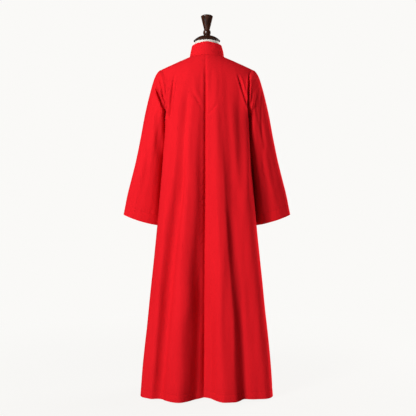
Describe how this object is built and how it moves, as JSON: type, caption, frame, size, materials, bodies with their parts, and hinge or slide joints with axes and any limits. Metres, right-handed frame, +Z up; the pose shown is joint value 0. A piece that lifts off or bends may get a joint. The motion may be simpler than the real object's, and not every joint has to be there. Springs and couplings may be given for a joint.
{
  "type": "cassock on a limbless dress form",
  "caption": "Full-length red cassock with a stand collar, wide straight sleeves and a buttoned front, worn on a limbless dress form with a turned neck cap and a flat stand.",
  "frame": {"origin": "centre of the stand's foot, on the floor under the pole", "axes": "+Z up along the pole; -Y towards the cassock's buttoned front; +X towards the wearer's left"},
  "size_m": [0.7328, 0.3349, 1.6305],
  "materials": {
    "red_wool": "matt fine twill with a slight sheen",
    "red_wool_sleeve": "matt fine twill with a slight sheen",
    "red_wool_collar": "matt fine twill, interfaced and pressed",
    "red_covered_button": "twill drawn over a domed button",
    "cream_jersey": "matt cotton jersey",
    "dark_walnut": "polished, turned",
    "brushed_steel": "brushed along its length",
    "black_painted_iron": "satin black paint"
  },
  "bodies": {
    "root": {"back_left": "red_wool", "back_right": "red_wool", "front_left": "red_wool", "front_right": "red_wool", "sleeve_left": "red_wool_sleeve", "sleeve_right": "red_wool_sleeve", "collar": "red_wool_collar", "button_01": "red_covered_button", "button_02": "red_covered_button", "button_03": "red_covered_button", "button_04": "red_covered_button", "button_05": "red_covered_button", "button_06": "red_covered_button", "button_07": "red_covered_button", "button_08": "red_covered_button", "button_09": "red_covered_button", "button_10": "red_covered_button", "button_11": "red_covered_button", "button_12": "red_covered_button", "button_13": "red_covered_button", "form_torso": "cream_jersey", "neck_cap": "dark_walnut", "finial": "dark_walnut", "pole": "brushed_steel", "stand_base": "black_painted_iron"}
  },
  "joints": []
}
